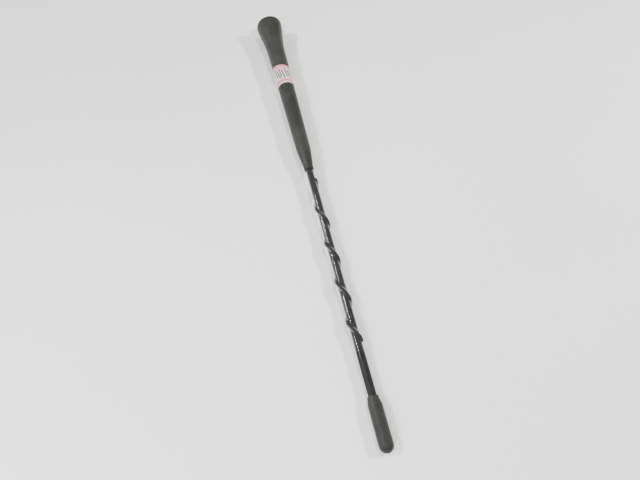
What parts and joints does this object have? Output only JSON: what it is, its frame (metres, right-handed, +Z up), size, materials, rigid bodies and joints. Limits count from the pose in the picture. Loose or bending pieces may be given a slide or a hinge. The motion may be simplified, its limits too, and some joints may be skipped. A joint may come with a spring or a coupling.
{
  "type": "flexible whip aerial mast",
  "caption": "Short whip radio aerial mast for a vehicle roof: flared rubber base boot over a flexing spring, slim wound rod with an anti-whistle spiral, and a rounded rubber tip cap.",
  "frame": {"origin": "centre of the boot's seating face, on the mast's axis", "axes": "+X along the mast from the seating face to the tip, +Z up as the mast lies on a flat surface"},
  "size_m": [0.2865, 0.017, 0.017],
  "materials": {
    "rubber": "matte",
    "cap_rubber": "matte",
    "sleeve_gloss": "gloss",
    "cord_plastic": "satin",
    "brass": "satin",
    "zinc_steel": "satin",
    "spring_steel": "satin",
    "seal_rubber": "satin",
    "fibreglass": "satin",
    "copper": "gloss",
    "solder": "satin",
    "band_plastic": "satin",
    "paper": "matte"
  },
  "bodies": {
    "base": {"base_ferrule": "brass", "boot": "rubber", "paper_label": "paper"},
    "flex": {"flex_spring": "spring_steel", "bonding_braid": "copper"},
    "mast": {"rod_ferrule": "brass", "core_rod": "fibreglass", "solder_joint": "solder", "loading_coil": "copper", "radiator_winding": "copper", "winding_end_band": "band_plastic", "outer_sleeve": "sleeve_gloss", "anti_whistle_cord": "cord_plastic", "tip_cap": "cap_rubber"},
    "seal": {"seal_ring": "seal_rubber"},
    "stud": {"fixing_stud": "zinc_steel"}
  },
  "joints": [
    {"name": "flex_pitch", "type": "hinge", "parent": "base", "child": "flex", "pos_m": [0.0322, 0, 0], "axis": [0, -1, 0], "range_deg": [-40, 40], "stiffness_Nm_per_rad": 0.6, "deforming": ["boot", "flex_spring", "bonding_braid", "paper_label"]},
    {"name": "flex_yaw", "type": "hinge", "parent": "flex", "child": "mast", "pos_m": [0.05365, 0, 0], "axis": [0, 0, 1], "range_deg": [-40, 40], "stiffness_Nm_per_rad": 0.6, "deforming": ["boot", "flex_spring", "bonding_braid", "paper_label"]},
    {"name": "stud_draw", "type": "slide", "parent": "base", "child": "seal", "axis": [-1, 0, 0], "range_m": [0, 0.008]},
    {"name": "stud_turn", "type": "hinge", "parent": "seal", "child": "stud", "pos_m": [0, 0, 0], "axis": [-1, 0, 0], "range_deg": [0, 3600]}
  ],
  "couplings": [
    {"joint": "stud_turn", "follows": "stud_draw", "rad_per_m": 7854}
  ]
}
